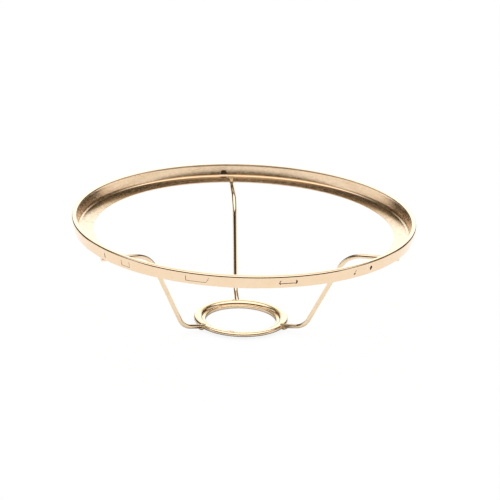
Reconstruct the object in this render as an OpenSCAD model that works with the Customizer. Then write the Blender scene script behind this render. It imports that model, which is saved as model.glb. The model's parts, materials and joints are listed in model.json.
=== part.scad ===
// Lampshade holder: a round ring that seats a glass shade, carried on three
// bent wire arms above a small flanged ring that sits on an oil-lamp burner.
// Millimetres. The Z axis is the lamp's axis, z = 0 is the bottom edge of the
// burner collar, and the rear arm lies along +Y.

/* [Shade ring] */
// Outside diameter of the ring over its lip
lip_d = 264; // [220:1:320]
// Width of the flat top of the lip
lip_w = 3.7; // [3:0.1:5]
// Outside radius of the lip's rolled edge
lip_edge_r = 1; // [0.8:0.1:1.2]
// Height of the outer band, lip included
band_h = 9.4; // [8:0.1:14]
// How far the band's bottom edge leans in under the lip
band_lean = 2.2; // [1.6:0.1:2.4]
// Sheet thickness of the outer band
band_t = 0.6; // [0.4:0.1:0.8]

/* [Clinch tabs] */
// Azimuths of the tabs in one third of the band, counted from an arm
tab_angles = [10.3, 40.2, 69, 96.4];
// Width of one tab along the band
tab_w = 14; // [8:1:20]
// Height of one tab
tab_h = 4.2; // [3:0.1:5]
// Height of solid band left between a tab and the band's bottom edge
tab_sill = 1.9; // [1.5:0.1:2.5]
// Width of the slit sheared at each side of a tab
tab_slit = 0.5; // [0.3:0.1:0.8]

/* [Seat ring] */
// Width of the seat, from the inner wall to the opening
seat_w = 13; // [9:0.1:18]
// Fall of the seat towards the opening, in degrees
seat_fall = 8.5; // [4:0.1:16]
// Height of the bead that stops the glass, above the seat
bead_h = 0.7; // [0.5:0.1:1.2]
// Width of the bead at its foot
bead_w = 2; // [1.6:0.1:2.6]
// Width of the groove between the bead and the inner wall
groove_w = 1; // [0.8:0.1:1.6]
// Width of the flange turned out under the lip
hem_w = 1.9; // [1.4:0.1:2.2]
// Sheet thickness of the seat ring
seat_t = 0.6; // [0.4:0.1:0.8]
// Diameter of the small hole through the foot of the inner wall
vent_d = 4.6; // [3:0.1:6]
// How far round from the rear arm the hole is, in degrees
vent_angle = 2.6; // [2:0.1:8]

/* [Burner ring] */
// Outside diameter over the rolled edge
burner_d = 73.3; // [68:0.1:90]
// Inside diameter of the neck under the flange
neck_d = 60; // [58:0.1:61]
// Inside diameter of the collar that fits the burner
collar_d = 55.2; // [50:0.1:56]
// Depth from the top of the flange to the collar's bottom edge
collar_depth = 4.8; // [4.4:0.1:8]
// Height of the straight part of the collar
collar_h = 2; // [1.5:0.1:2]
// Outside diameter of the rolled edge in section
curl_d = 3.1; // [2.8:0.1:3.6]
// Sheet thickness of the burner ring
burner_t = 0.8; // [0.6:0.1:0.9]

/* [Arms] */
// Height from the burner ring's flange to the top of the lip
rise = 83; // [60:1:110]
// Diameter of the wire
wire_d = 3.4; // [2.6:0.1:3.4]
// Length of the upper run inside the seat's opening
upper_run = 29.6; // [20:0.1:40]
// Radius of the upper bend
upper_bend_r = 22; // [6:0.5:24]
// Length of the lower run outside the burner ring
lower_run = 17.3; // [12:0.1:20]
// Rise of the lower run from the ring to the bend
lower_lift = 3.6; // [1:0.1:6]
// Radius of the lower bend
lower_bend_r = 14; // [5:0.5:15]
// How far the wire's cut end stops short of the band's bottom edge
tip_inset = 2.5; // [0.5:0.1:4]

/* [Brazing] */
// Radius of the braze run at each side of an upper joint
fillet_r = 0.6; // [0.4:0.1:0.8]
// Length of the braze run at an upper joint
fillet_l = 8; // [5:0.5:9]
// Radius of the drop of braze at a lower joint
drop_r = 2.1; // [2:0.1:2.3]
// How far the drop hangs below the wire's centre line
drop_sag = 0.5; // [0.2:0.1:0.8]
// Clearance between parts that are brazed or clinched together
fit_gap = 0.1; // [0.05:0.05:0.2]

/* [Hidden] */
$fn = 96;
brass = [0.86, 0.72, 0.47];
braze = [0.80, 0.66, 0.44];
arm_azimuths = [90, 210, 330];
bend_steps = 8;
// A wire swells by a hair where it is bent
bend_swell = 0.03;

// Heights of the three levels of the assembly
flange_z = collar_depth;
lip_z = flange_z + rise;

// Radii of the shade ring
lip_r = lip_d / 2;
wall_r = lip_r - lip_w;
band_foot_r = lip_r - band_lean;
seat_open_r = wall_r - seat_w;

// Profile of the seat ring, as the middle of its sheet
hem_z = lip_z - band_t - seat_t / 2;
wall_mid_r = wall_r + fit_gap + seat_t / 2;
foot_z = lip_z - band_h - seat_t / 2;
groove_r = wall_mid_r - seat_t / 2 - groove_w;
bead_r = groove_r - bead_w / 2;
bead_foot_r = groove_r - bead_w;
opening_z = foot_z - (bead_foot_r - seat_open_r) * tan(seat_fall);

// The wire's upper run lies under the foot of the wall and the edge of the seat
wire_r = wire_d / 2;
under_foot = [wall_mid_r, foot_z - seat_t / 2];
under_edge = [seat_open_r, opening_z - seat_t / 2];
run_tilt = heading(under_edge, under_foot);
run_drop = (wire_r + fit_gap) / cos(run_tilt);
tip_r = band_foot_r - tip_inset;
upper_corner_r = seat_open_r - upper_run;
tip = [tip_r, run_height(tip_r)];
upper_corner = [upper_corner_r, run_height(upper_corner_r)];

// The lower run ends in a notch in the burner ring's rolled edge
burner_r = burner_d / 2;
curl_z = flange_z - curl_d / 2;
notch_r = burner_r - curl_d + curl_d / 5;
wire_end_r = notch_r + fit_gap;
lower_corner_r = burner_r + lower_run;
lower_corner = [lower_corner_r, curl_z + lower_lift];
wire_end = [wire_end_r, curl_z];
lower_tilt = heading(wire_end, lower_corner);

function heading(from, to) = atan2(to[1] - from[1], to[0] - from[0]);
function turn_of(a) = a > 180 ? a - 360 : (a <= -180 ? a + 360 : a);
function along(a, l) = l * [cos(a), sin(a)];
function run_height(r) = under_edge[1] - run_drop + (r - under_edge[0]) * tan(run_tilt);

// The rounded corners of a path: for each one its centre, radius, start and turn
function corners(path, radii) = [
    for (i = [1 : len(path) - 2])
        let (
            way_in = heading(path[i - 1], path[i]),
            turn = turn_of(heading(path[i], path[i + 1]) - way_in),
            side = sign(turn),
            r = radii[i - 1],
            back = r * tan(abs(turn) / 2)
        )
        [path[i] - along(way_in, back) + along(way_in + 90, side * r), r, way_in - 90 * side, turn]
];

// One face of a sheet whose middle follows the path, off to its right by off
function face(path, radii, off) = concat(
    [path[0] + along(heading(path[0], path[1]) - 90, off)],
    [
        for (c = corners(path, radii))
            for (i = [0 : bend_steps])
                c[0] + along(c[2] + c[3] * i / bend_steps, c[1] + sign(c[3]) * off)
    ],
    [path[len(path) - 1] + along(heading(path[len(path) - 2], path[len(path) - 1]) - 90, off)]
);

function backwards(list) = [for (i = [len(list) - 1 : -1 : 0]) list[i]];

// A sheet spun round the axis
module spun_sheet(path, radii, t) {
    rotate_extrude()
        polygon(concat(face(path, radii, t / 2), backwards(face(path, radii, -t / 2))));
}

// A round wire that follows a path in the plane of an arm
module bent_wire(path, radii, d) {
    bend = corners(path, radii);
    starts = concat([path[0]], [for (c = bend) c[0] + along(c[2] + c[3], c[1])]);
    ends = concat([for (c = bend) c[0] + along(c[2], c[1])], [path[len(path) - 1]]);
    last = len(starts) - 1;
    for (i = [0 : last]) {
        into_bend = i == 0 ? 0 : bend_swell;
        past_end = i == last ? 0 : bend_swell;
        translate([starts[i][0], 0, starts[i][1]])
            rotate([0, 90 - heading(starts[i], ends[i]), 0])
                translate([0, 0, -into_bend])
                    cylinder(h = norm(ends[i] - starts[i]) + into_bend + past_end, d = d);
    }
    for (c = bend)
        translate([c[0][0], 0, c[0][1]])
            rotate([90, 0, 0])
                rotate([0, 0, min(c[2], c[2] + c[3])])
                    rotate_extrude(angle = abs(c[3]))
                        translate([c[1], 0])
                            circle(d = d + bend_swell);
}

// A stretch of a ring between two radii and two heights, centred on azimuth a
module ring_piece(a, arc, r_in, r_out, z_low, z_high) {
    rotate([0, 0, a - arc / 2])
        rotate_extrude(angle = arc)
            polygon([[r_in, z_low], [r_out, z_low], [r_out, z_high], [r_in, z_high]]);
}

// Radius of the band's outer face at a height below the lip
function band_face_r(drop) = lip_r - band_lean * drop / band_h;

// The tab: a tongue of the band that leans in until it meets the inner wall
module clinch_tab(a) {
    root_drop = band_h - tab_sill - tab_h;
    toe_drop = band_h - tab_sill - tab_slit;
    hold_drop = root_drop - band_t;
    toe_r = wall_mid_r + seat_t / 2 + fit_gap;
    arc = (tab_w - 2 * tab_slit) / lip_r * 180 / PI;
    rotate([0, 0, a - arc / 2])
        rotate_extrude(angle = arc)
            polygon([
                [band_face_r(hold_drop), lip_z - hold_drop],
                [band_face_r(root_drop), lip_z - root_drop],
                [toe_r + band_t, lip_z - toe_drop],
                [toe_r, lip_z - toe_drop],
                [band_face_r(root_drop) - band_t, lip_z - root_drop],
                [band_face_r(hold_drop) - band_t, lip_z - hold_drop]
            ]);
}

// Outer band with its flat lip, rolled edge, leaning skirt and clinch tabs
module outer_band() {
    window_arc = tab_w / lip_r * 180 / PI;
    window_low = lip_z - band_h + tab_sill;
    skirt_top = [lip_r - band_t / 2, lip_z - band_t / 2];
    color(brass) {
        difference() {
            spun_sheet(
                [[wall_r, skirt_top[1]], skirt_top, [band_foot_r - band_t / 2, lip_z - band_h]],
                [lip_edge_r - band_t / 2],
                band_t
            );
            for (arm = arm_azimuths)
                for (tab = tab_angles)
                    ring_piece(arm + tab, window_arc, wall_mid_r, lip_r + 1, window_low, window_low + tab_h);
        }
        for (arm = arm_azimuths)
            for (tab = tab_angles)
                clinch_tab(arm + tab);
    }
}

// Seat ring: a hem under the lip, the inner wall, a groove, the bead and the seat
module seat_ring() {
    path = [
        [wall_mid_r + hem_w, hem_z],
        [wall_mid_r, hem_z],
        [wall_mid_r, foot_z],
        [groove_r, foot_z],
        [bead_r, foot_z + bead_h],
        [bead_foot_r, foot_z],
        [seat_open_r, opening_z]
    ];
    color(brass)
        difference() {
            spun_sheet(path, [0.5, 0.8, 0.4, 0.5, 0.5], seat_t);
            translate([0, 0, foot_z + seat_t / 2 + vent_d / 4])
                rotate([90, 0, 180 + vent_angle])
                    translate([0, 0, wall_r - 1])
                        cylinder(h = seat_t + 2, d = vent_d);
        }
}

// Burner ring: collar, ledge, neck, flat flange and rolled edge, with a notch for each wire
module burner_ring() {
    mid = burner_t / 2;
    collar_mid_r = collar_d / 2 + mid;
    neck_mid_r = neck_d / 2 + mid;
    curl_in_r = burner_r - curl_d + mid;
    curl_out_r = burner_r - mid;
    curl_turn_r = curl_d / 2 - mid;
    ledge_z = collar_h;
    path = [
        [collar_mid_r, 0],
        [collar_mid_r, ledge_z],
        [neck_mid_r, ledge_z + mid],
        [neck_mid_r, flange_z - mid],
        [curl_out_r, flange_z - mid],
        [curl_out_r, flange_z - curl_d + mid],
        [curl_in_r, flange_z - curl_d + mid],
        [curl_in_r, curl_z + 0.05]
    ];
    radii = [0.5, 0.5, 0.8, curl_turn_r, curl_turn_r, curl_turn_r];
    color(brass)
        difference() {
            spun_sheet(path, radii, burner_t);
            for (arm = arm_azimuths)
                rotate([0, 0, arm])
                    translate([notch_r, -wire_r - fit_gap, flange_z - curl_d - 1])
                        cube([curl_d, wire_d + 2 * fit_gap, curl_d + 2]);
        }
}

// One wire arm, laid out along +X and turned to its azimuth
module arm(azimuth) {
    color(brass)
        rotate([0, 0, azimuth])
            bent_wire([tip, upper_corner, lower_corner, wire_end], [upper_bend_r, lower_bend_r], wire_d);
}

module rear_arm() {
    arm(arm_azimuths[0]);
}

module left_arm() {
    arm(arm_azimuths[1]);
}

module right_arm() {
    arm(arm_azimuths[2]);
}

// Braze run along both sides of each wire where it lies under the seat
module upper_brazing() {
    middle_r = (seat_open_r + bead_foot_r) / 2;
    height = run_height(middle_r) + wire_r - fillet_r / 2;
    color(braze)
        for (azimuth = arm_azimuths)
            for (side = [-1, 1])
                rotate([0, 0, azimuth])
                    translate([middle_r, side * (wire_r - fillet_r / 3), height])
                        rotate([0, 90 - run_tilt, 0])
                            cylinder(h = fillet_l, r = fillet_r, center = true);
}

// Drop of braze at the notch where each wire enters the burner ring
module lower_brazing() {
    color(braze)
        for (azimuth = arm_azimuths)
            rotate([0, 0, azimuth])
                translate([burner_r, 0, curl_z - drop_sag])
                    sphere(r = drop_r);
}

outer_band();
seat_ring();
burner_ring();
rear_arm();
left_arm();
right_arm();
upper_brazing();
lower_brazing();
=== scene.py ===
"""Oil lamp shade holder in polished brass: a shade ring on three wire arms over a burner ring."""

import json
import math

import bmesh
import bpy
from mathutils import Matrix, Vector


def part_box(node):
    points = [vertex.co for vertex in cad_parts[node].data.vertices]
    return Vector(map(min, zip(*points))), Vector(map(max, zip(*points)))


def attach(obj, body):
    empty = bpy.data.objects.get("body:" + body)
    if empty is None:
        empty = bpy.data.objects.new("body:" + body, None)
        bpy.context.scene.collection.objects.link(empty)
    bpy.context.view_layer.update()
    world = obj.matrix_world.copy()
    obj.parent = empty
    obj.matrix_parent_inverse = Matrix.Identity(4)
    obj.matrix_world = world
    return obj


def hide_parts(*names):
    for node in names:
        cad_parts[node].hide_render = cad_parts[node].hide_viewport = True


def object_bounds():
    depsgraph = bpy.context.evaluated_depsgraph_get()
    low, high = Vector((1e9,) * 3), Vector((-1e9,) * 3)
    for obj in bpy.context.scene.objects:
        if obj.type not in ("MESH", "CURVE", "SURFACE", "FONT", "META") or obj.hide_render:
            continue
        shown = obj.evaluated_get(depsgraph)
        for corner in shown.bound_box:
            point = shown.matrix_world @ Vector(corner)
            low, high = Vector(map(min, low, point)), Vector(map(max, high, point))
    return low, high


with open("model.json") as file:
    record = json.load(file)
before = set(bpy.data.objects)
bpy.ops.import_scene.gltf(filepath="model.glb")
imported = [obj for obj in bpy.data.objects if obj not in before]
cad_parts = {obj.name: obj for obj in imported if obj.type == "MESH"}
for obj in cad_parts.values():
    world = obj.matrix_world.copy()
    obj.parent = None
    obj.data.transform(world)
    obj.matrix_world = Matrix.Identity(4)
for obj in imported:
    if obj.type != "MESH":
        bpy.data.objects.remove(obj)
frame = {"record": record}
cad_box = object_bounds()

# ---------------------------------------------------------------------------------------
# Camera: a long lens a metre and a half away, a little above the shade ring and swung
# slightly to the left of the rear arm. It leans by two degrees, as a hand-set tripod does.
# ---------------------------------------------------------------------------------------
CAMERA_SWING = math.radians(5.78)
CAMERA_HEIGHT = math.radians(20.085)
CAMERA_LEAN = math.radians(1.982)
CAMERA_DISTANCE = 1.5412
CAMERA_LENS = 144
AIM_TO_SIDE = 0.00529
AIM_BELOW_LIP = 0.0281

level = Vector((math.cos(CAMERA_SWING), -math.sin(CAMERA_SWING), 0))
look = Vector((
    math.sin(CAMERA_SWING) * math.cos(CAMERA_HEIGHT),
    math.cos(CAMERA_SWING) * math.cos(CAMERA_HEIGHT),
    -math.sin(CAMERA_HEIGHT),
))
rise = level.cross(look)
aim = level * AIM_TO_SIDE + Vector((0, 0, cad_box[1].z - AIM_BELOW_LIP))
right = level * math.cos(CAMERA_LEAN) + rise * math.sin(CAMERA_LEAN)
above = rise * math.cos(CAMERA_LEAN) - level * math.sin(CAMERA_LEAN)

camera = bpy.data.objects.new("camera", bpy.data.cameras.new("camera"))
bpy.context.scene.collection.objects.link(camera)
camera.data.lens = CAMERA_LENS
camera.data.sensor_width = 36
camera.data.clip_start = 0.05
camera.data.clip_end = 50
place = Matrix((right, above, -look)).transposed().to_4x4()
place.translation = aim - look * CAMERA_DISTANCE
camera.matrix_world = place
bpy.context.scene.camera = camera
bpy.context.scene.view_settings.view_transform = "Standard"

# ---------------------------------------------------------------------------------------
# Studio: white paper under the object, a narrow white sweep behind it that ends a little above
# eye level, low pale cards at its sides, a soft light overhead and a dark room round the rest.
# ---------------------------------------------------------------------------------------
PAPER_SIZE = 3.2
PAPER_IN_FRONT = 0.36
PAPER_GAP = 0.0002
PAPER_WHITE = (0.98, 0.98, 0.98, 1)
PAPER_SHADOW = 0.12
# How far the painted contact shadow on the paper reaches round the object
PAINTED_SHADOW_REACH = 0.03
SWEEP_REACH = (math.radians(17), math.radians(29))
SIDE_FROM = (math.radians(56), math.radians(68))
SIDE_TO = (math.radians(106), math.radians(118))
DARK_ROOM = (0.05, 0.042, 0.025)
TOP_LIGHT = (1.6, 1.6, 1.6)
# The light behind the object, beside it and elsewhere round it, as (elevation in degrees, colour)
BEHIND = (
    (-12, (0.1, 0.085, 0.05)), (-4, (0.1, 0.085, 0.05)), (2, (1.2, 1.2, 1.2)),
    (17, (1.6, 1.65, 1.7)), (23, (1.6, 1.65, 1.7)), (28, (0.85, 0.75, 0.55)),
    (32, (0.26, 0.2, 0.1)), (38, (0.15, 0.12, 0.065)), (43, (0.15, 0.12, 0.065)),
    (52, TOP_LIGHT),
)
BESIDE = ((12, (1.1, 1.1, 1.1)), (26, DARK_ROOM), (42, DARK_ROOM), (53, TOP_LIGHT))
ELSEWHERE = ((0, DARK_ROOM), (42, DARK_ROOM), (53, TOP_LIGHT))


def node_tools(tree):
    """Short ways to add a node, feed its sockets, remap a value and blend two colours."""

    def add(kind, **settings):
        node = tree.nodes.new(kind)
        for key, value in settings.items():
            setattr(node, key, value)
        return node

    def feed(node, **values):
        for key, value in values.items():
            socket = node.inputs[int(key[1:])] if key[1:].isdigit() else node.inputs[key]
            if isinstance(value, bpy.types.NodeSocket):
                tree.links.new(value, socket)
            else:
                socket.default_value = value
        return node

    def remap(value, low, high, start, end):
        spread = add("ShaderNodeMapRange")
        return feed(spread, _0=value, _1=low, _2=high, _3=start, _4=end).outputs[0]

    def blend(share, base, other):
        mix = add("ShaderNodeMix", data_type="RGBA")
        return feed(mix, _0=share, _6=base, _7=other).outputs[2]

    return add, feed, remap, blend


def white_paper():
    """Matt white paper that shows as plain white and keeps a faint shadow of the object; in
    reflections its colour is darkened by ambient occlusion, a painted contact shadow under the
    object.
    """
    paper = bpy.data.materials.new("white_paper")
    paper.use_nodes = True
    paper.node_tree.nodes.clear()
    add, feed, remap, blend = node_tools(paper.node_tree)
    path = add("ShaderNodeLightPath")
    mirror = feed(
        add("ShaderNodeMath", operation="MAXIMUM"),
        _0=path.outputs["Is Glossy Ray"], _1=path.outputs["Is Transmission Ray"],
    )
    share = feed(
        add("ShaderNodeMath", operation="MULTIPLY"),
        _0=path.outputs["Is Camera Ray"], _1=1 - PAPER_SHADOW,
    )
    # Ambient occlusion darkens the paper seen in reflections: a painted contact shadow under the
    # object
    near = feed(add("ShaderNodeAmbientOcclusion", samples=8), Distance=PAINTED_SHADOW_REACH)
    painted_contact_shadow = feed(add("ShaderNodeMath", operation="POWER"), _0=near.outputs["AO"], _1=2)
    tone = blend(mirror.outputs[0], PAPER_WHITE, painted_contact_shadow.outputs[0])
    lit = feed(add("ShaderNodeBsdfDiffuse"), Color=tone)
    white = feed(add("ShaderNodeEmission"), Color=(1, 1, 1, 1), Strength=1)
    mixed = feed(
        add("ShaderNodeMixShader"), _0=share.outputs[0], _1=lit.outputs[0], _2=white.outputs[0]
    )
    feed(add("ShaderNodeOutputMaterial"), Surface=mixed.outputs[0])
    return paper


def lay_paper():
    """The sheet the object stands on."""
    bm = bmesh.new()
    bmesh.ops.create_grid(bm, x_segments=1, y_segments=1, size=PAPER_SIZE)
    bmesh.ops.translate(
        bm, verts=bm.verts, vec=(0, PAPER_SIZE - PAPER_IN_FRONT, cad_box[0].z - PAPER_GAP)
    )
    sheet = bpy.data.meshes.new("paper")
    bm.to_mesh(sheet)
    bm.free()
    paper = bpy.data.objects.new("paper", sheet)
    bpy.context.scene.collection.objects.link(paper)
    sheet.materials.append(white_paper())


def light_studio():
    """World light by elevation: a sweep behind, pale sides, a dark room and a soft top light."""
    world = bpy.data.worlds.new("studio")
    bpy.context.scene.world = world
    world.use_nodes = True
    world.node_tree.nodes.clear()
    add, feed, remap, blend = node_tools(world.node_tree)
    way = add("ShaderNodeTexCoord").outputs["Generated"]
    parts = feed(add("ShaderNodeSeparateXYZ"), Vector=way)
    flat = feed(add("ShaderNodeVectorMath", operation="MULTIPLY"), _0=way, _1=(1, 1, 0))
    heading = feed(add("ShaderNodeVectorMath", operation="NORMALIZE"), _0=flat.outputs[0])
    to_sweep = (math.sin(CAMERA_SWING), math.cos(CAMERA_SWING), 0)
    facing = feed(
        add("ShaderNodeVectorMath", operation="DOT_PRODUCT"), _0=heading.outputs[0], _1=to_sweep
    )
    off_sweep = feed(add("ShaderNodeMath", operation="ARCCOSINE"), _0=facing.outputs["Value"])
    climb = feed(add("ShaderNodeMath", operation="ARCSINE"), _0=parts.outputs["Z"])
    elevation = remap(climb.outputs[0], -math.pi / 2, math.pi / 2, 0, 1)

    def light_by_height(stops):
        """Light that changes with elevation, through the given stops."""
        ramp = feed(add("ShaderNodeValToRGB"), Fac=elevation)
        marks = ramp.color_ramp.elements
        while len(marks) < len(stops):
            marks.new(1)
        for mark, (degrees, colour) in zip(marks, stops):
            mark.position = degrees / 180 + 0.5
        for mark, (degrees, colour) in zip(marks, stops):
            mark.color = (*colour, 1)
        return ramp.outputs["Color"]

    def change(angles, before, after):
        """Goes from one light to the next between two angles off the middle of the sweep."""
        share = feed(
            add("ShaderNodeMapRange", interpolation_type="SMOOTHSTEP"),
            _0=off_sweep.outputs[0], _1=angles[0], _2=angles[1], _3=0, _4=1,
        )
        return blend(share.outputs[0], before, after)

    lit = change(SWEEP_REACH, light_by_height(BEHIND), light_by_height(ELSEWHERE))
    lit = change(SIDE_FROM, lit, light_by_height(BESIDE))
    lit = change(SIDE_TO, lit, light_by_height(ELSEWHERE))
    path = add("ShaderNodeLightPath")
    plain = feed(
        add("ShaderNodeMath", operation="MAXIMUM"),
        _0=path.outputs["Is Camera Ray"], _1=path.outputs["Is Diffuse Ray"],
    )
    shown = blend(plain.outputs[0], lit, (1, 1, 1, 1))
    back = feed(add("ShaderNodeBackground"), Color=shown, Strength=1)
    feed(add("ShaderNodeOutputWorld"), Surface=back.outputs[0])


lay_paper()
light_studio()

# ---------------------------------------------------------------------------------------
# Outer band: one strip of brass sheet rolled into a ring, its top edge turned in as a flat
# lip. Lanced tongues and bridges are pressed in through the skirt to grip the seat ring.
# ---------------------------------------------------------------------------------------
mounts = {mount["name"]: mount for mount in frame["record"]["mounts"]}
wall_r = mounts["shade_fitter"]["dims"]["r_mm"] / 1000
lip_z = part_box("outer_band")[1].z
band_foot_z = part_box("outer_band")[0].z
LIP_WIDTH = 0.0037
LIP_EDGE = 0.0013
BAND_LEAN = 0.0022
BAND_SHEET = 0.0006
BAND_COLOUR = (0.86, 0.672, 0.479, 1)
# Tarnish colour, laid into the seams by ambient occlusion: partly real tarnish, partly painted
# shade
TARNISH = (0.16, 0.1, 0.045, 1)
EASED_EDGE = 0.00008
# Rows of points close beside the raw edges keep the flats next to them flat
LIP_EDGE_ROW = 0.00025
FOOT_EDGE_ROW = 0.0002
ARM_AZIMUTHS = (90, 210, 330)
PRESS_TOP_ROW = 0.0033
PRESS_FOOT_ROW = 0.0075
PRESS_ROW_STEP = 0.00035
PRESS_FOOT_SLIT = 0.00018
PRESS_SLACK = 0.0001
# Degrees that a mark's ends reach past it, and the steps round the band at its ends, along it
# and between marks
PRESS_MARGIN = 1.3
END_STEP, MARK_STEP, PLAIN_STEP = 0.15, 0.5, 1.0
# Points nearer than this are one point
SAME_POINT = 0.000002
# Each press mark in one third of the band: where it starts and ends in degrees from an arm, its
# top and foot in millimetres below the lip, how its left and right ends slant and bow, the edges
# that are sheared, the width of the slit in degrees, how deep it is pressed, and its form
PRESS_MARKS = (
    dict(start=4.4, end=8.0, top=3.3, foot=7.5, slants=(0, 0), bows=(-0.9, 0), cuts=("left",),
         slit=0.15, depth=0.2, form="fade"),
    dict(start=12.4, end=15.9, top=3.3, foot=7.5, slants=(0.1, 0.2), bows=(-0.1, 0.1),
         cuts=("left", "foot", "right"), slit=0.15, depth=0.15, form="tongue"),
    dict(start=36.5, end=43.6, top=3.3, foot=7.15, slants=(0, 2.4), bows=(0, 0.2),
         cuts=("left", "foot", "right"), slit=0.15, depth=0.15, form="tongue"),
    dict(start=66.4, end=71.6, top=3.65, foot=6.8, slants=(0, 0), bows=(-0.9, 0.9),
         cuts=("left", "right"), slit=0.3, depth=0.35, form="bridge"),
    dict(start=92.6, end=99.8, top=3.3, foot=6.8, slants=(1.8, 0.2), bows=(0, 0.9),
         cuts=("left", "right"), slit=0.45, depth=0.5, form="bridge"),
)
lip_r = wall_r + LIP_WIDTH
band_foot_r = lip_r - BAND_LEAN
under_edge_z = lip_z - LIP_EDGE * 1.4
inside_band = (lip_r - 0.0025, lip_z - 0.0045)


def bent_section(corners, bends, segments=6):
    """The line of a bent sheet in section: corners as (radius, height), and its bend radii."""
    bm = bmesh.new()
    verts = [bm.verts.new((r, 0, z)) for r, z in corners]
    for start, end in zip(verts, verts[1:]):
        bm.edges.new((start, end))
    turns = [
        (b.co - a.co).angle(c.co - b.co) for a, b, c in zip(verts, verts[1:], verts[2:])
    ]
    for vert, bend, turn in zip(verts[1:-1], bends, turns):
        bmesh.ops.bevel(
            bm, geom=[vert], offset=bend * math.tan(turn / 2), offset_type="OFFSET",
            affect="VERTICES", segments=segments, profile=0.5, material=-1,
        )
    return bm


def cut_rows(bm, heights, radii=()):
    """Adds a point to the section wherever it crosses one of the heights or radii."""
    planes = [((0, 0, height), (0, 0, 1)) for height in heights]
    planes += [((radius, 0, 0), (1, 0, 0)) for radius in radii]
    for point, normal in planes:
        bmesh.ops.bisect_plane(
            bm, geom=bm.verts[:] + bm.edges[:], dist=1e-7, plane_co=point, plane_no=normal
        )
    bmesh.ops.remove_doubles(bm, verts=bm.verts, dist=2e-5)


def spin_ring(bm, stretches):
    """Spins a section once round the lamp's axis in stretches of (degrees, steps)."""
    geom = bm.verts[:] + bm.edges[:]
    for degrees, steps in stretches:
        made = bmesh.ops.spin(
            bm, geom=geom, cent=(0, 0, 0), axis=(0, 0, 1), dvec=(0, 0, 0),
            angle=math.radians(degrees), steps=steps, use_merge=False,
            use_normal_flip=False, use_duplicate=False,
        )
        geom = made["geom_last"]
    bmesh.ops.remove_doubles(bm, verts=bm.verts, dist=SAME_POINT)


def face_out(bm, away_from):
    """Turns an open skin so that its faces look away from a circle of (radius, height)."""
    bm.normal_update()
    turned = []
    for face in bm.faces:
        middle = face.calc_center_median()
        radius = math.hypot(middle.x, middle.y)
        off = Vector((
            middle.x * (1 - away_from[0] / radius), middle.y * (1 - away_from[0] / radius),
            middle.z - away_from[1],
        ))
        if face.normal.dot(off) < 0:
            turned.append(face)
    bmesh.ops.reverse_faces(bm, faces=turned)


def start_metal(name):
    """A bare metal material, its node tools and the piece's own coordinates."""
    metal = bpy.data.materials.new(name)
    metal.use_nodes = True
    metal.node_tree.nodes.clear()
    tools = node_tools(metal.node_tree)
    add = tools[0]
    return metal, tools, add("ShaderNodeTexCoord").outputs["Object"]


def faded(colour, red, green, blue):
    """A colour taken down a little in each channel."""
    return (colour[0] * red, colour[1] * green, colour[2] * blue, 1)


def tarnish_and_shade_in_seam(tools, reach, closed, clear, strength):
    """How much tarnish and painted shade lie in a seam, from ambient occlusion: the given strength
    where it is closed, none where clear.
    """
    add, feed, remap, blend = tools
    hollow = feed(add("ShaderNodeAmbientOcclusion", samples=8), Distance=reach)
    return remap(hollow.outputs["AO"], closed, clear, strength, 0)


def finish_metal(tools, colour, roughness, relief, strength, depth, metallic=1.0):
    """Joins a colour, a roughness and a fine relief in the metal's surface."""
    add, feed, remap, blend = tools
    bumps = feed(add("ShaderNodeBump"), Strength=strength, Distance=depth, Height=relief)
    surface = feed(
        add("ShaderNodeBsdfPrincipled"), Metallic=metallic, Roughness=roughness,
        Normal=bumps.outputs[0], **{"Base Color": colour},
    )
    feed(add("ShaderNodeOutputMaterial"), Surface=surface.outputs[0])


def spun_brass(name, colour, lines, roughness, seam=0.35):
    """Polished and lacquered brass sheet: fine turning lines, mottling, and tarnish with painted
    shade darkening the seams.
    """
    brass, tools, place = start_metal(name)
    add, feed, remap, blend = tools
    parts = feed(add("ShaderNodeSeparateXYZ"), Vector=place)
    flat = feed(add("ShaderNodeVectorMath", operation="MULTIPLY"), _0=place, _1=(1, 1, 0))
    radius = feed(add("ShaderNodeVectorMath", operation="LENGTH"), _0=flat.outputs[0])
    around = feed(add("ShaderNodeVectorMath", operation="NORMALIZE"), _0=flat.outputs[0])
    slow = feed(
        add("ShaderNodeVectorMath", operation="SCALE"), _0=around.outputs[0], Scale=2.5
    )
    fine_z = feed(add("ShaderNodeMath", operation="MULTIPLY"), _0=parts.outputs["Z"], _1=lines)
    along = feed(add("ShaderNodeCombineXYZ"), Z=fine_z.outputs[0])
    spread = feed(
        add("ShaderNodeVectorMath", operation="ADD"), _0=slow.outputs[0], _1=along.outputs[0]
    )
    fine_r = feed(
        add("ShaderNodeMath", operation="MULTIPLY"), _0=radius.outputs["Value"], _1=lines
    )
    turning = feed(
        add("ShaderNodeTexNoise", noise_dimensions="4D"),
        Vector=spread.outputs[0], W=fine_r.outputs[0], Scale=1, Detail=2,
    )
    mottle = feed(add("ShaderNodeTexNoise"), Vector=place, Scale=70, Detail=3, Roughness=0.55)
    haze = feed(add("ShaderNodeTexNoise"), Vector=place, Scale=420, Detail=2)
    warm = remap(mottle.outputs["Fac"], 0.3, 0.7, 0, 1)
    tint = blend(warm, colour, faded(colour, 0.985, 0.965, 0.92))
    # Ambient occlusion darkens the seams towards tarnish: partly real tarnish, partly painted
    # shade
    tarnished_and_shaded = blend(tarnish_and_shade_in_seam(tools, 0.0012, 0.05, 0.55, seam), tint, TARNISH)
    dull = remap(haze.outputs["Fac"], 0.3, 0.75, roughness * 0.8, roughness * 1.35)
    finish_metal(tools, tarnished_and_shaded, dull, turning.outputs["Fac"], 0.06, 0.00002)
    return brass


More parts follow.
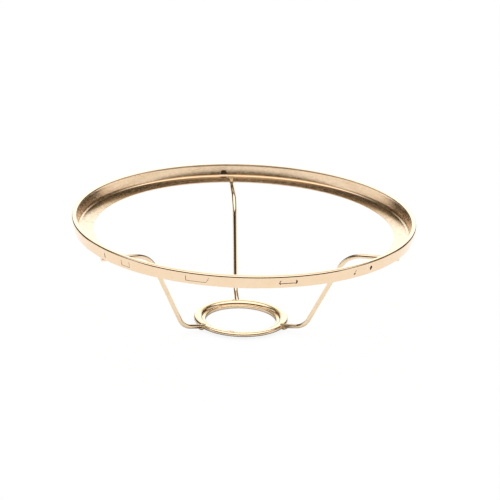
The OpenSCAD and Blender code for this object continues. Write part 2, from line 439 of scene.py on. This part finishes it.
def make_piece(name, bm, material, node, sheet=0, side=-1, edge=0.0):
    """Makes the finished object: thickens a skin, eases its edges and stands in for its node."""
    mesh = bpy.data.meshes.new(name)
    bm.to_mesh(mesh)
    bm.free()
    piece = bpy.data.objects.new(name, mesh)
    bpy.context.scene.collection.objects.link(piece)
    if sheet:
        wall = piece.modifiers.new("sheet", "SOLIDIFY")
        wall.thickness = sheet
        wall.offset = side
        wall.use_even_offset = True
        wall.use_quality_normals = True
    if edge:
        eased = piece.modifiers.new("eased_edges", "BEVEL")
        eased.width = edge
        eased.segments = 2
        eased.limit_method = "ANGLE"
        eased.angle_limit = math.radians(50)
        eased.use_clamp_overlap = False
    bpy.context.view_layer.update()
    solid = bpy.data.meshes.new_from_object(
        piece.evaluated_get(bpy.context.evaluated_depsgraph_get())
    )
    piece.modifiers.clear()
    piece.data = solid
    tidy = bmesh.new()
    tidy.from_mesh(solid)
    bmesh.ops.remove_doubles(tidy, verts=tidy.verts, dist=SAME_POINT)
    tidy.to_mesh(solid)
    tidy.free()
    bpy.data.meshes.remove(mesh)
    solid.name = name
    solid.shade_smooth()
    solid.set_sharp_from_angle(angle=math.radians(38))
    solid.materials.clear()
    solid.materials.append(material)
    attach(piece, "root")
    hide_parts(node)
    return piece


def band_stretches():
    """Steps round one turn of the band: fine at the ends of each press mark, else coarse."""
    stretches = []
    done = 0
    for arm in range(3):
        for mark in PRESS_MARKS:
            start = arm * 120 + mark["start"]
            end = arm * 120 + mark["end"]
            for stop, step in (
                (start - PRESS_MARGIN, PLAIN_STEP), (start + PRESS_MARGIN, END_STEP),
                (end - PRESS_MARGIN, MARK_STEP), (end + PRESS_MARGIN, END_STEP),
            ):
                if stop > done + 1e-6:
                    stretches.append((stop - done, max(1, math.ceil((stop - done) / step - 1e-6))))
                    done = stop
    stretches.append((360 - done, math.ceil((360 - done) / PLAIN_STEP)))
    return stretches


def press_mark(bm, azimuth, mark):
    """Shears thin slits round one press mark in the skin and presses the metal between them in."""
    start = math.radians(azimuth + mark["start"])
    end = math.radians(azimuth + mark["end"])
    top = lip_z - mark["top"] / 1000
    foot = lip_z - mark["foot"] / 1000
    middle = (start + end) / 2
    reach = (end - start) / 2
    margin = math.radians(PRESS_MARGIN)
    slit = math.radians(mark["slit"])

    def turn_to(co):
        return (math.atan2(co.y, co.x) - middle + math.pi) % math.tau - math.pi

    def nearby():
        return [
            v for v in bm.verts
            if abs(turn_to(v.co)) < reach + margin
            and foot - PRESS_SLACK < v.co.z < top + PRESS_SLACK
        ]

    def edge_of(face):
        """Which of the mark's edges a face lies along, if any."""
        at = face.calc_center_median()
        turn = turn_to(at)
        if turn < slit - reach:
            return "left"
        if turn > reach - slit:
            return "right"
        return "foot" if at.z < foot + PRESS_FOOT_SLIT else ""

    faces = []
    for face in {f for v in nearby() for f in v.link_faces}:
        at = face.calc_center_median()
        if abs(turn_to(at)) < reach and foot < at.z < top:
            faces.append(face)
    sheared = [f for f in faces if edge_of(f) in mark["cuts"]]
    tongue = {v for f in faces if f not in sheared for v in f.verts}
    bmesh.ops.delete(bm, geom=sheared, context="FACES")
    for vert in nearby():
        turn = turn_to(vert.co)
        height = (vert.co.z - foot) / (top - foot)
        side = 0 if turn < 0 else 1
        weight = max(0, 1 - abs(abs(turn) - reach) / margin) ** 2
        slant = mark["slants"][side] * (height - 0.5)
        bow = mark["bows"][side] * (1 - (2 * height - 1) ** 2)
        arch = math.sin(math.pi * min(1, max(0, height)))
        depth = 0
        if vert in tongue:
            share = {
                "bridge": arch ** 1.6,
                "tongue": 1 - height,
                "fade": arch * max(0, 0.5 - turn / reach / 2),
            }[mark["form"]]
            depth = mark["depth"] / 1000 * share
        turned = middle + turn + (slant + bow) / 1000 / lip_r * weight
        radius = math.hypot(vert.co.x, vert.co.y) - depth
        vert.co.x = radius * math.cos(turned)
        vert.co.y = radius * math.sin(turned)


band = bent_section(
    [(wall_r, lip_z), (lip_r, lip_z), (band_foot_r, band_foot_z)], [LIP_EDGE], segments=8
)
press_rows = round((PRESS_FOOT_ROW - PRESS_TOP_ROW) / PRESS_ROW_STEP) + 1
band_rows = [under_edge_z, band_foot_z + FOOT_EDGE_ROW]
band_rows += [lip_z - PRESS_TOP_ROW - PRESS_ROW_STEP * i for i in range(press_rows)]
for press in PRESS_MARKS:
    if "foot" in press["cuts"]:
        foot_z = lip_z - press["foot"] / 1000
        band_rows += [foot_z, foot_z + PRESS_FOOT_SLIT]
cut_rows(band, band_rows, radii=[wall_r + LIP_EDGE_ROW])
spin_from = Matrix.Rotation(math.radians(ARM_AZIMUTHS[0]), 3, "Z")
bmesh.ops.rotate(band, verts=band.verts, cent=(0, 0, 0), matrix=spin_from)
spin_ring(band, band_stretches())
face_out(band, inside_band)
for arm_azimuth in ARM_AZIMUTHS:
    for press in PRESS_MARKS:
        press_mark(band, arm_azimuth, press)
# Strong darkening in the band's seams: tarnish and painted shade laid by ambient occlusion
make_piece(
    "shade_band", band, spun_brass("band_brass", BAND_COLOUR, 2600, 0.12, seam=0.85),
    "outer_band", sheet=BAND_SHEET, edge=EASED_EDGE,
)

# ---------------------------------------------------------------------------------------
# Seat ring: a second strip of brass sheet spun to a hem, a wall, a groove, a stop bead and a
# seat that falls towards the opening. The hem is closed under the lip before the tongues grip it.
# ---------------------------------------------------------------------------------------
SEAT_SHEET = 0.0006
SEAT_COLOUR = (0.86, 0.672, 0.479, 1)
SEAT_WIDTH = 0.013
SEAT_FALL = math.radians(8.5)
SEAT_CROWN = 0.00004
CLINCH_GAP = 0.0001
HEM_WIDTH = 0.0019
GROOVE_WIDTH = 0.001
BEAD_WIDTH = 0.002
BEAD_HEIGHT = 0.0007
WALL_CURVE = math.radians(10)
WALL_CURVE_HEIGHT = 0.006
WALL_KNEE = 0.0035
HEM_BEND, FOOT_BEND, GROOVE_BEND = 0.0004, 0.0003, 0.0003
BEAD_BEND, BEAD_FOOT_BEND, CROWN_BEND = 0.0005, 0.002, 0.06
WALL_ROW = 0.0003
OPENING_EDGE_ROW = 0.0003
VENT_D = 0.0058
VENT_SILL = 0.0006
VENT_EDGE_STEP = 0.0002
VENT_AZIMUTH = math.radians(92.6)
wall_mid_r = wall_r + CLINCH_GAP + SEAT_SHEET / 2
wall_foot_r = wall_mid_r - WALL_KNEE * math.tan(WALL_CURVE)
hem_z = lip_z - BAND_SHEET - SEAT_SHEET / 2
seat_foot_z = band_foot_z - SEAT_SHEET / 2
groove_r = wall_mid_r - SEAT_SHEET / 2 - GROOVE_WIDTH
vent_z = seat_foot_z + SEAT_SHEET / 2 + VENT_D / 4
vent_sill_z = seat_foot_z + VENT_SILL
wall_rows = [vent_sill_z + WALL_ROW * i for i in range(13)]
wall_rows += [wall_rows[-1] + 2 * WALL_ROW * i for i in range(1, 6)]
bead_r = groove_r - BEAD_WIDTH / 2
bead_foot_r = groove_r - BEAD_WIDTH
seat_open_r = wall_r - SEAT_WIDTH
opening_z = seat_foot_z - (bead_foot_r - seat_open_r) * math.tan(SEAT_FALL)
seat_middle = ((bead_foot_r + seat_open_r) / 2, (seat_foot_z + opening_z) / 2 + SEAT_CROWN)


def seat_stretches():
    """Steps round one turn of the seat ring: fine over each wire and at the vent, else coarse."""
    fine = (4, 32)
    coarse = (116, 114)
    return [fine, (114, 112), fine, coarse, fine, coarse, (2, 16)]


def pierce_vent(bm):
    """Opens the small arched hole at the foot of the wall, beside the rear arm."""

    def from_vent(co):
        return (math.atan2(co.y, co.x) - VENT_AZIMUTH) * wall_r, co.z - vent_z

    pierced = []
    for face in bm.faces:
        middle = face.calc_center_median()
        if middle.z > vent_sill_z and math.hypot(*from_vent(middle)) < VENT_D / 2:
            pierced.append(face)
    bmesh.ops.delete(bm, geom=pierced, context="FACES")
    for vert in bm.verts:
        side, height = from_vent(vert.co)
        reach = math.hypot(side, height)
        if vert.is_boundary and vert.co.z > vent_sill_z and 0 < reach < VENT_D:
            turn = VENT_AZIMUTH + side / reach * VENT_D / 2 / wall_r
            radius = math.hypot(vert.co.x, vert.co.y)
            vert.co = (
                radius * math.cos(turn), radius * math.sin(turn),
                vent_z + height / reach * VENT_D / 2,
            )
    edge = [v for v in bm.verts if v.is_boundary and math.hypot(*from_vent(v.co)) < VENT_D]
    bmesh.ops.remove_doubles(bm, verts=edge, dist=VENT_EDGE_STEP)


seat = bent_section(
    [
        (wall_mid_r + HEM_WIDTH, hem_z),
        (wall_mid_r, hem_z),
        (wall_mid_r, seat_foot_z + WALL_KNEE),
        (wall_foot_r, seat_foot_z),
        (groove_r, seat_foot_z),
        (bead_r, seat_foot_z + BEAD_HEIGHT),
        (bead_foot_r, seat_foot_z),
        seat_middle,
        (seat_open_r, opening_z),
    ],
    [
        HEM_BEND, WALL_CURVE_HEIGHT / WALL_CURVE, FOOT_BEND, GROOVE_BEND,
        BEAD_BEND, BEAD_FOOT_BEND, CROWN_BEND,
    ],
)
cut_rows(seat, wall_rows, radii=[seat_open_r + OPENING_EDGE_ROW])
bmesh.ops.rotate(seat, verts=seat.verts, cent=(0, 0, 0), matrix=spin_from)
spin_ring(seat, seat_stretches())
bmesh.ops.recalc_face_normals(seat, faces=seat.faces)
pierce_vent(seat)
make_piece(
    "shade_seat", seat, spun_brass("seat_brass", SEAT_COLOUR, 2600, 0.19),
    "seat_ring", sheet=SEAT_SHEET, side=0, edge=EASED_EDGE,
)

# ---------------------------------------------------------------------------------------
# Burner ring: spun from thicker brass sheet with a collar, a ledge, a neck, a flat flange and
# a rolled edge. A slot in the rolled edge takes the end of each wire.
# ---------------------------------------------------------------------------------------
collar_r = mounts["burner_collar"]["dims"]["r_mm"] / 1000
flange_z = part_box("burner_ring")[1].z
collar_foot_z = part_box("burner_ring")[0].z
BURNER_SHEET = 0.0008
BURNER_COLOUR = (0.87, 0.69, 0.48, 1)
BURNER_D = 0.0733
NECK_D = 0.06
COLLAR_HEIGHT = 0.002
CURL_D = 0.0031
CURL_LIP = 0.00005
COLLAR_BEND, LEDGE_BEND, NECK_BEND = 0.0003, 0.0002, 0.0023
COLLAR_EDGE_ROW = 0.0003
burner_r = BURNER_D / 2
half_sheet = BURNER_SHEET / 2
collar_mid_r = collar_r + half_sheet
neck_mid_r = NECK_D / 2 + half_sheet
curl_in_r = burner_r - CURL_D + half_sheet
curl_out_r = burner_r - half_sheet
curl_z = flange_z - CURL_D / 2
curl_turn = CURL_D / 2 - half_sheet
flange_mid_z = flange_z - half_sheet
curl_foot_z = flange_z - CURL_D + half_sheet
WIRE_D = 0.0034
notch_r = burner_r - CURL_D + CURL_D / 5
notch_reach = math.atan((WIRE_D / 2 + CLINCH_GAP) / (burner_r - CURL_D / 2))


def off_arms(co):
    """The angle between a point and the nearest arm."""
    turn = math.atan2(co.y, co.x)
    return min(
        abs((turn - math.radians(azimuth) + math.pi) % math.tau - math.pi)
        for azimuth in ARM_AZIMUTHS
    )


def saw_notches(bm):
    """Takes the rolled edge and the flange's rim away where each wire enters."""
    sawn = []
    for face in bm.faces:
        middle = face.calc_center_median()
        if off_arms(middle) < notch_reach and math.hypot(middle.x, middle.y) > notch_r:
            sawn.append(face)
    bmesh.ops.delete(bm, geom=sawn, context="FACES")


burner = bent_section(
    [
        (collar_mid_r, collar_foot_z),
        (collar_mid_r, collar_foot_z + COLLAR_HEIGHT),
        (neck_mid_r, collar_foot_z + COLLAR_HEIGHT + half_sheet),
        (neck_mid_r, flange_mid_z),
        (curl_out_r, flange_mid_z),
        (curl_out_r, curl_foot_z),
        (curl_in_r, curl_foot_z),
        (curl_in_r, curl_z + CURL_LIP),
    ],
    [COLLAR_BEND, LEDGE_BEND, NECK_BEND, curl_turn, curl_turn, curl_turn],
)
cut_rows(burner, [collar_foot_z + COLLAR_EDGE_ROW], radii=[notch_r])
bmesh.ops.rotate(burner, verts=burner.verts, cent=(0, 0, 0), matrix=spin_from)
notch_degrees = math.degrees(notch_reach)
between_notches = (120 - 2 * notch_degrees, 76)
spin_ring(
    burner,
    [(notch_degrees, 2)] + [between_notches, (2 * notch_degrees, 4)] * 2
    + [between_notches, (notch_degrees, 2)],
)
saw_notches(burner)
bmesh.ops.recalc_face_normals(burner, faces=burner.faces)
make_piece(
    "burner_flange", burner, spun_brass("burner_brass", BURNER_COLOUR, 3200, 0.13),
    "burner_ring", sheet=BURNER_SHEET, side=0, edge=EASED_EDGE,
)

# ---------------------------------------------------------------------------------------
# Arms: three lengths of round drawn brass wire, each with one bend under the shade ring and
# one outside the burner ring. Their outer ends are cropped and lightly rounded.
# ---------------------------------------------------------------------------------------
UPPER_RUN = 0.0296
UPPER_BEND = 0.022
LOWER_RUN = 0.0173
LOWER_LIFT = 0.0036
LOWER_BEND = 0.014
TIP_INSET = 0.0025
TIP_ROUND = 0.0004
WIRE_COLOUR = (0.86, 0.68, 0.475, 1)
wire_r = WIRE_D / 2
run_rise = (seat_foot_z - opening_z) / (wall_mid_r - seat_open_r)
run_tilt = math.atan(run_rise)
run_drop = (wire_r + CLINCH_GAP) / math.cos(run_tilt)


def run_height(r):
    """Height of the wire's centre line under the seat and its opening."""
    return opening_z - SEAT_SHEET / 2 - run_drop + (r - seat_open_r) * run_rise


def drawn_brass(name, colour, roughness):
    """Bright drawn wire: faint marks along its length, a little haze, and tarnish with painted
    shade in the seams.
    """
    brass, tools, place = start_metal(name)
    add, feed, remap, blend = tools
    mottle = feed(add("ShaderNodeTexNoise"), Vector=place, Scale=110, Detail=3)
    haze = feed(add("ShaderNodeTexNoise"), Vector=place, Scale=700, Detail=2)
    draw = feed(add("ShaderNodeMapping"), Vector=place, Scale=(1, 1, 0.05))
    marks = feed(add("ShaderNodeTexNoise"), Vector=draw.outputs[0], Scale=5200, Detail=1)
    warm = remap(mottle.outputs["Fac"], 0.3, 0.7, 0, 1)
    tint = blend(warm, colour, faded(colour, 0.98, 0.96, 0.9))
    # Ambient occlusion darkens the seams towards tarnish: partly real tarnish, partly painted
    # shade
    tarnished_and_shaded = blend(tarnish_and_shade_in_seam(tools, 0.0012, 0.1, 0.6, 0.3), tint, TARNISH)
    dull = remap(haze.outputs["Fac"], 0.3, 0.75, roughness * 0.8, roughness * 1.35)
    finish_metal(tools, tarnished_and_shaded, dull, marks.outputs["Fac"], 0.05, 0.00002)
    return brass


def bend_wire(corners, bends):
    """A round wire laid out in the XZ plane: each straight is drawn on and each bend is turned."""
    bm = bmesh.new()
    points = [Vector((r, 0, z)) for r, z in corners]
    first = (points[1] - points[0]).normalized()
    bmesh.ops.create_circle(
        bm, cap_ends=True, segments=24, radius=wire_r,
        matrix=Matrix.Translation(points[0]) @ first.to_track_quat("Z", "Y").to_matrix().to_4x4(),
    )
    rim = [e for f in bm.faces for e in f.edges]
    at = points[0]
    for i, point in enumerate(points[1:]):
        way = (point - points[i]).normalized()
        stop = point
        if i < len(bends):
            onward = (points[i + 2] - point).normalized()
            turn = way.angle(onward)
            stop = point - way * bends[i] * math.tan(turn / 2)
        grown = bmesh.ops.extrude_edge_only(bm, edges=rim)["geom"]
        verts = [g for g in grown if isinstance(g, bmesh.types.BMVert)]
        bmesh.ops.translate(bm, verts=verts, vec=stop - at)
        rim = [
            g for g in grown
            if isinstance(g, bmesh.types.BMEdge) and all(v in verts for v in g.verts)
        ]
        at = stop
        if i < len(bends):
            axis = way.cross(onward).normalized()
            centre = stop + axis.cross(way) * bends[i]
            turned = bmesh.ops.spin(
                bm, geom=verts + rim, cent=centre, axis=axis, dvec=(0, 0, 0), angle=turn,
                steps=24, use_merge=False, use_normal_flip=False, use_duplicate=False,
            )["geom_last"]
            rim = [g for g in turned if isinstance(g, bmesh.types.BMEdge)]
            at = centre + Matrix.Rotation(turn, 3, axis) @ (stop - centre)
    bmesh.ops.edgeloop_fill(bm, edges=rim)
    bmesh.ops.recalc_face_normals(bm, faces=bm.faces)
    ends = [e for f in bm.faces if len(f.verts) > 4 for e in f.edges]
    bmesh.ops.bevel(
        bm, geom=ends, offset=TIP_ROUND, offset_type="OFFSET", affect="EDGES",
        segments=3, profile=0.5, material=-1,
    )
    return bm


tip_r = band_foot_r - TIP_INSET
upper_corner_r = seat_open_r - UPPER_RUN
wire_path = [
    (tip_r, run_height(tip_r)),
    (upper_corner_r, run_height(upper_corner_r)),
    (burner_r + LOWER_RUN, curl_z + LOWER_LIFT),
    (notch_r + CLINCH_GAP, curl_z),
]
wire_brass = drawn_brass("wire_brass", WIRE_COLOUR, 0.13)
for wire_name, wire_node, azimuth in zip(
    ("rear_wire", "left_wire", "right_wire"), ("rear_arm", "left_arm", "right_arm"), ARM_AZIMUTHS
):
    wire = bend_wire(wire_path, [UPPER_BEND, LOWER_BEND])
    to_arm = Matrix.Rotation(math.radians(azimuth), 3, "Z")
    bmesh.ops.rotate(wire, verts=wire.verts, cent=(0, 0, 0), matrix=to_arm)
    make_piece(wire_name, wire, wire_brass, wire_node)

# ---------------------------------------------------------------------------------------
# Upper brazing: two fillets of brazing metal along each wire, where it lies under the seat, and
# a thin wedge that came through on top of the seat. The metal flowed on as the joint was heated,
# so the fillets swell and thin and end in points.
# ---------------------------------------------------------------------------------------
FILLET_LENGTH = 0.0088
FILLET_R = 0.0007
FILLET_SWELL = 0.1
FILLET_SUNK = 0.0002
WEDGE_WIDTH_AT_BEAD = 0.0054
WEDGE_WIDTH_AT_EDGE = 0.0014
WEDGE_OFF_BEAD = 0.0004
WEDGE_OFF_EDGE = 0.0003
WEDGE_HEIGHT = 0.00035
WEDGE_SUNK = 0.0001
WEDGE_EASE = 0.0003
BRAZE_COLOUR = (0.92, 0.66, 0.37, 1)
FLUX_STAIN = (0.2, 0.12, 0.055, 1)
fillet_middle_r = (seat_open_r + bead_foot_r) / 2
fillet_z = run_height(fillet_middle_r) + wire_r - FILLET_SUNK


def flowed_metal(name, colour, roughness):
    """Brazing metal as it flowed: soft ripples, a duller skin, and flux stain with painted shade
    in the corners.
    """
    braze, tools, place = start_metal(name)
    add, feed, remap, blend = tools
    ripples = feed(add("ShaderNodeTexNoise"), Vector=place, Scale=900, Detail=3, Distortion=0.6)
    stain = feed(add("ShaderNodeTexNoise"), Vector=place, Scale=350, Detail=2)
    patches = remap(stain.outputs["Fac"], 0.4, 0.7, 0, 0.35)
    # Ambient occlusion darkens the corners towards flux stain: partly real stain, partly painted
    # shade
    stain_and_shade = tarnish_and_shade_in_seam(tools, 0.001, 0.1, 0.6, 0.5)
    shade = feed(add("ShaderNodeMath", operation="MAXIMUM"), _0=patches, _1=stain_and_shade)
    tint = blend(shade.outputs[0], colour, FLUX_STAIN)
    dull = remap(ripples.outputs["Fac"], 0.3, 0.7, roughness * 0.7, roughness * 1.4)
    finish_metal(tools, tint, dull, ripples.outputs["Fac"], 0.3, 0.0001, metallic=0.75)
    return braze


def flowed_fillet(bm, matrix, swell):
    """One fillet: a rounded bead that thins towards its ends and swells where metal gathered."""
    verts = bmesh.ops.create_uvsphere(bm, u_segments=20, v_segments=28, radius=1)["verts"]
    for vert in verts:
        along = vert.co.z
        across = Vector((vert.co.x, vert.co.y, 0))
        if across.length > 1e-6:
            across.normalize()
        thick = FILLET_R * math.sqrt(max(0, 1 - along ** 4))
        thick *= 1 + FILLET_SWELL * math.sin(5 * along + swell)
        vert.co = across * thick + Vector((0, 0, along * FILLET_LENGTH / 2))
    bmesh.ops.transform(bm, verts=verts, matrix=matrix)


def flowed_wedge(bm, matrix):
    """A thin wedge on the seat over the wire: wide at the bead, narrow at the opening."""
    verts = bmesh.ops.create_cube(bm, size=2)["verts"]
    upper = [v for v in verts if v.co.z > 0]
    for vert in verts:
        if vert.co.x < 0:
            r, width = seat_open_r + WEDGE_OFF_EDGE, WEDGE_WIDTH_AT_EDGE
        else:
            r, width = bead_foot_r - WEDGE_OFF_BEAD, WEDGE_WIDTH_AT_BEAD
        seat_z = opening_z + (r - seat_open_r) * math.tan(SEAT_FALL) + SEAT_SHEET / 2
        lift = WEDGE_HEIGHT if vert in upper else -WEDGE_SUNK
        vert.co = (r, vert.co.y * width / 2, seat_z + lift)
    bmesh.ops.transform(bm, verts=verts, matrix=matrix)
    bmesh.ops.bevel(
        bm, geom=[e for e in bm.edges if any(v in upper for v in e.verts)],
        offset=WEDGE_EASE, offset_type="OFFSET", affect="EDGES", segments=4, profile=0.5,
        material=-1, clamp_overlap=True,
    )


fillets = bmesh.new()
for azimuth in ARM_AZIMUTHS:
    to_arm = Matrix.Rotation(math.radians(azimuth), 4, "Z")
    for side in (-1, 1):
        beside = Matrix.Translation((fillet_middle_r, side * (wire_r - FILLET_SUNK), fillet_z))
        along_run = Matrix.Rotation(math.pi / 2 - run_tilt, 4, "Y")
        flowed_fillet(fillets, to_arm @ beside @ along_run, azimuth + side)
    flowed_wedge(fillets, to_arm)
braze_metal = flowed_metal("braze_metal", BRAZE_COLOUR, 0.38)
make_piece("seat_braze", fillets, braze_metal, "upper_brazing")

# ---------------------------------------------------------------------------------------
# Lower brazing: a drop of the same metal that fills each notch round the wire's end, hangs a
# little below the rolled edge, and draws out to a short skirt along the wire.
# ---------------------------------------------------------------------------------------
DROP_R = 0.0021
DROP_SAG = 0.0005
DROP_SKIRT = 1.5
DROP_TAPER = 0.12
DROP_TOP = 0.92
DROP_RIPPLE = 0.025

drops = bmesh.new()
for azimuth in ARM_AZIMUTHS:
    drop = bmesh.ops.create_uvsphere(drops, u_segments=36, v_segments=24, radius=DROP_R)["verts"]
    for vert in drop:
        outward = max(0, vert.co.x / DROP_R)
        ripple = 1 + DROP_RIPPLE * math.sin(7 * math.atan2(vert.co.y, vert.co.x) + azimuth)
        thin = ripple * (1 - DROP_TAPER * outward)
        vert.co.x *= 1 + (DROP_SKIRT - 1) * outward
        vert.co.y *= thin
        vert.co.z *= thin * (DROP_TOP if vert.co.z > 0 else 1)
    in_notch = Matrix.Rotation(math.radians(azimuth), 4, "Z") @ Matrix.Translation(
        (burner_r, 0, curl_z - DROP_SAG)
    )
    bmesh.ops.transform(drops, verts=drop, matrix=in_notch)
make_piece("notch_braze", drops, braze_metal, "lower_brazing")
